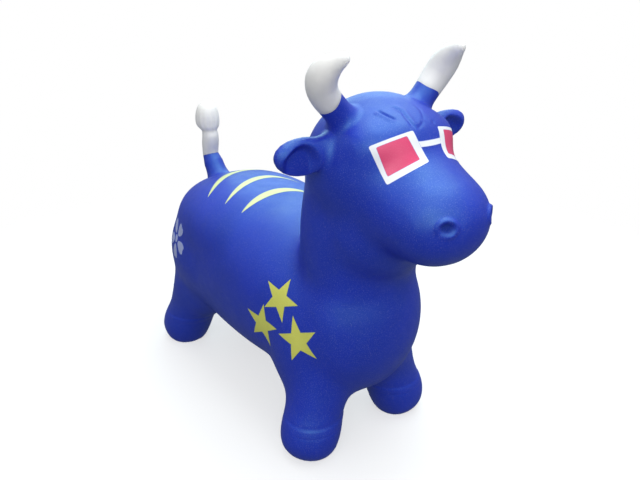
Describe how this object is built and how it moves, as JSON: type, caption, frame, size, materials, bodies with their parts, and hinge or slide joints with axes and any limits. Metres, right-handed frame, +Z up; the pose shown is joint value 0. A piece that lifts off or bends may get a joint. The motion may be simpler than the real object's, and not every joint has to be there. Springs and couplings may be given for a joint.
{
  "type": "animal hopper",
  "caption": "Inflatable hopping bull for a child to sit on: rounded hollow body on short legs, with soft horns, ears and tail, and an air valve under the belly.",
  "frame": {"origin": "on the ground, under the middle of the bounding box", "axes": "+Z up, -Y forward towards the muzzle, +X the toy's left"},
  "size_m": [0.2588, 0.5654, 0.4923],
  "materials": {
    "blue_skin": "satin soft PVC",
    "white_skin": "satin soft PVC, painted white",
    "valve_plastic": "moulded"
  },
  "bodies": {
    "body": {"trunk_skin": "blue_skin", "head_skin": "blue_skin", "leg_front_left": "blue_skin", "leg_front_right": "blue_skin", "leg_rear_left": "blue_skin", "leg_rear_right": "blue_skin", "valve_seat": "valve_plastic"},
    "left_horn": {"horn_left": "white_skin"},
    "right_horn": {"horn_right": "white_skin"},
    "left_ear": {"ear_left": "blue_skin"},
    "right_ear": {"ear_right": "blue_skin"},
    "tail_end": {"tail": "white_skin"},
    "stopper": {"valve_plug": "valve_plastic"}
  },
  "joints": [
    {"name": "horn_left_flex", "type": "hinge", "parent": "body", "child": "left_horn", "pos_m": [0.06766, -0.14734, 0.44355], "axis": [1, 0, 0], "range_deg": [-20, 20], "stiffness_Nm_per_rad": 1.2},
    {"name": "horn_right_flex", "type": "hinge", "parent": "body", "child": "right_horn", "pos_m": [-0.06766, -0.14734, 0.44355], "axis": [1, 0, 0], "range_deg": [-20, 20], "stiffness_Nm_per_rad": 1.2},
    {"name": "ear_left_flex", "type": "hinge", "parent": "body", "child": "left_ear", "pos_m": [0.07938, -0.14384, 0.39376], "axis": [0, 1, 0], "range_deg": [-20, 20], "stiffness_Nm_per_rad": 0.5},
    {"name": "ear_right_flex", "type": "hinge", "parent": "body", "child": "right_ear", "pos_m": [-0.07938, -0.14384, 0.39376], "axis": [0, 1, 0], "range_deg": [-20, 20], "stiffness_Nm_per_rad": 0.5},
    {"name": "tail_flex", "type": "hinge", "parent": "body", "child": "tail_end", "pos_m": [0, 0.24734, 0.28882], "axis": [0, 1, 0], "range_deg": [-22, 22], "stiffness_Nm_per_rad": 1},
    {"name": "plug_pull", "type": "slide", "parent": "body", "child": "stopper", "axis": [0, 0, -1], "range_m": [0, 0.03]}
  ]
}
